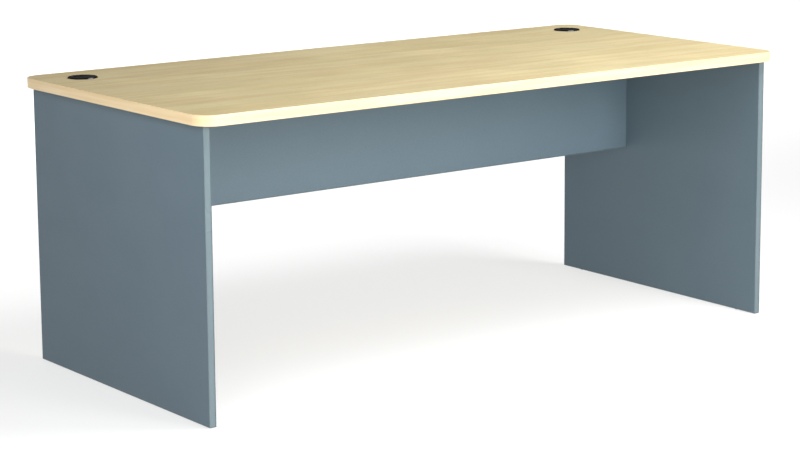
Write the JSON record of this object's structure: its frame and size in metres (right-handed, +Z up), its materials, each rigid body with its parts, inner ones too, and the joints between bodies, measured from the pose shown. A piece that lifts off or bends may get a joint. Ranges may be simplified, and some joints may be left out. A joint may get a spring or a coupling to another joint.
{
  "type": "panel-end teacher desk",
  "caption": "Straight desk with a beech-grain laminate worktop, grey full-height end panels, a set-back modesty panel and closable cable ports at the rear corners.",
  "frame": {"origin": "on the floor, under the middle of the worktop", "axes": "+X along the worktop to the seated user's right, +Y from the user to the far side where the cable ports are, +Z up"},
  "size_m": [1.8, 0.85, 0.723],
  "materials": {
    "worktop_laminate": "matt beech-grain laminate on 25 mm board",
    "worktop_band": "pale matching 2 mm edge band, satin",
    "grey_melamine": "blue-grey melamine on 18 mm board, fine matt texture",
    "grey_band": "silver-grey 2 mm edge band, satin",
    "black_plastic": "black moulded plastic, semi-gloss",
    "black_nylon": "black nylon",
    "insert_brass": "turned brass",
    "cam_zinc": "die-cast zinc",
    "bolt_steel": "zinc-plated steel",
    "dowel_beech": "plain beech"
  },
  "bodies": {
    "desk": {"worktop_panel": "worktop_laminate", "worktop_edge_band": "worktop_band", "left_end_panel": "grey_melamine", "left_front_edge_band": "grey_band", "left_rear_edge_band": "grey_band", "left_bottom_edge_band": "grey_band", "right_end_panel": "grey_melamine", "right_front_edge_band": "grey_band", "right_rear_edge_band": "grey_band", "right_bottom_edge_band": "grey_band", "modesty_panel": "grey_melamine", "modesty_lower_edge_band": "grey_band", "left_grommet_liner": "black_plastic", "right_grommet_liner": "black_plastic", "front_left_foot_insert": "insert_brass", "rear_left_foot_insert": "insert_brass", "front_right_foot_insert": "insert_brass", "rear_right_foot_insert": "insert_brass", "top_cam_bolt_left_front": "bolt_steel", "top_cam_bolt_left_rear": "bolt_steel", "modesty_cam_bolt_left_upper": "bolt_steel", "modesty_cam_bolt_left_lower": "bolt_steel", "top_cam_bolt_right_front": "bolt_steel", "top_cam_bolt_right_rear": "bolt_steel", "modesty_cam_bolt_right_upper": "bolt_steel", "modesty_cam_bolt_right_lower": "bolt_steel", "top_dowel_left_front": "dowel_beech", "top_dowel_left_rear": "dowel_beech", "modesty_dowel_left_upper": "dowel_beech", "modesty_dowel_left_lower": "dowel_beech", "modesty_top_dowel_left": "dowel_beech", "top_dowel_right_front": "dowel_beech", "top_dowel_right_rear": "dowel_beech", "modesty_dowel_right_upper": "dowel_beech", "modesty_dowel_right_lower": "dowel_beech", "modesty_top_dowel_right": "dowel_beech"},
    "left_grommet_cap": {"left_grommet_cap": "black_plastic"},
    "left_grommet_shutter": {"left_grommet_shutter": "black_plastic"},
    "right_grommet_cap": {"right_grommet_cap": "black_plastic"},
    "right_grommet_shutter": {"right_grommet_shutter": "black_plastic"},
    "front_left_foot": {"front_left_foot": "black_nylon"},
    "rear_left_foot": {"rear_left_foot": "black_nylon"},
    "front_right_foot": {"front_right_foot": "black_nylon"},
    "rear_right_foot": {"rear_right_foot": "black_nylon"},
    "top_cam_left_front": {"top_cam_left_front": "cam_zinc"},
    "top_cam_left_rear": {"top_cam_left_rear": "cam_zinc"},
    "modesty_cam_left_upper": {"modesty_cam_left_upper": "cam_zinc"},
    "modesty_cam_left_lower": {"modesty_cam_left_lower": "cam_zinc"},
    "top_cam_right_front": {"top_cam_right_front": "cam_zinc"},
    "top_cam_right_rear": {"top_cam_right_rear": "cam_zinc"},
    "modesty_cam_right_upper": {"modesty_cam_right_upper": "cam_zinc"},
    "modesty_cam_right_lower": {"modesty_cam_right_lower": "cam_zinc"}
  },
  "joints": [
    {"name": "left_grommet_cap_lift", "type": "slide", "parent": "desk", "child": "left_grommet_cap", "axis": [0, 0, 1], "range_m": [0, 0.03]},
    {"name": "left_grommet_shutter_turn", "type": "hinge", "parent": "left_grommet_cap", "child": "left_grommet_shutter", "pos_m": [-0.79, 0.305, 0.72], "axis": [0, 0, 1], "range_deg": [0, 180]},
    {"name": "right_grommet_cap_lift", "type": "slide", "parent": "desk", "child": "right_grommet_cap", "axis": [0, 0, 1], "range_m": [0, 0.03]},
    {"name": "right_grommet_shutter_turn", "type": "hinge", "parent": "right_grommet_cap", "child": "right_grommet_shutter", "pos_m": [0.79, 0.305, 0.72], "axis": [0, 0, 1], "range_deg": [0, 180]},
    {"name": "front_left_foot_height", "type": "slide", "parent": "desk", "child": "front_left_foot", "axis": [0, 0, -1], "range_m": [0, 0.01]},
    {"name": "rear_left_foot_height", "type": "slide", "parent": "desk", "child": "rear_left_foot", "axis": [0, 0, -1], "range_m": [0, 0.01]},
    {"name": "front_right_foot_height", "type": "slide", "parent": "desk", "child": "front_right_foot", "axis": [0, 0, -1], "range_m": [0, 0.01]},
    {"name": "rear_right_foot_height", "type": "slide", "parent": "desk", "child": "rear_right_foot", "axis": [0, 0, -1], "range_m": [0, 0.01]},
    {"name": "top_cam_left_front_turn", "type": "hinge", "parent": "desk", "child": "top_cam_left_front", "pos_m": [-0.862, -0.15, 0.661], "axis": [-1, 0, 0], "range_deg": [0, 180]},
    {"name": "top_cam_left_rear_turn", "type": "hinge", "parent": "desk", "child": "top_cam_left_rear", "pos_m": [-0.862, 0.25, 0.661], "axis": [-1, 0, 0], "range_deg": [0, 180]},
    {"name": "modesty_cam_left_upper_turn", "type": "hinge", "parent": "desk", "child": "modesty_cam_left_upper", "pos_m": [-0.828, 0.145, 0.64], "axis": [0, -1, 0], "range_deg": [0, 180]},
    {"name": "modesty_cam_left_lower_turn", "type": "hinge", "parent": "desk", "child": "modesty_cam_left_lower", "pos_m": [-0.828, 0.145, 0.448], "axis": [0, -1, 0], "range_deg": [0, 180]},
    {"name": "top_cam_right_front_turn", "type": "hinge", "parent": "desk", "child": "top_cam_right_front", "pos_m": [0.862, -0.15, 0.661], "axis": [1, 0, 0], "range_deg": [0, 180]},
    {"name": "top_cam_right_rear_turn", "type": "hinge", "parent": "desk", "child": "top_cam_right_rear", "pos_m": [0.862, 0.25, 0.661], "axis": [1, 0, 0], "range_deg": [0, 180]},
    {"name": "modesty_cam_right_upper_turn", "type": "hinge", "parent": "desk", "child": "modesty_cam_right_upper", "pos_m": [0.828, 0.145, 0.64], "axis": [0, -1, 0], "range_deg": [0, 180]},
    {"name": "modesty_cam_right_lower_turn", "type": "hinge", "parent": "desk", "child": "modesty_cam_right_lower", "pos_m": [0.828, 0.145, 0.448], "axis": [0, -1, 0], "range_deg": [0, 180]}
  ]
}
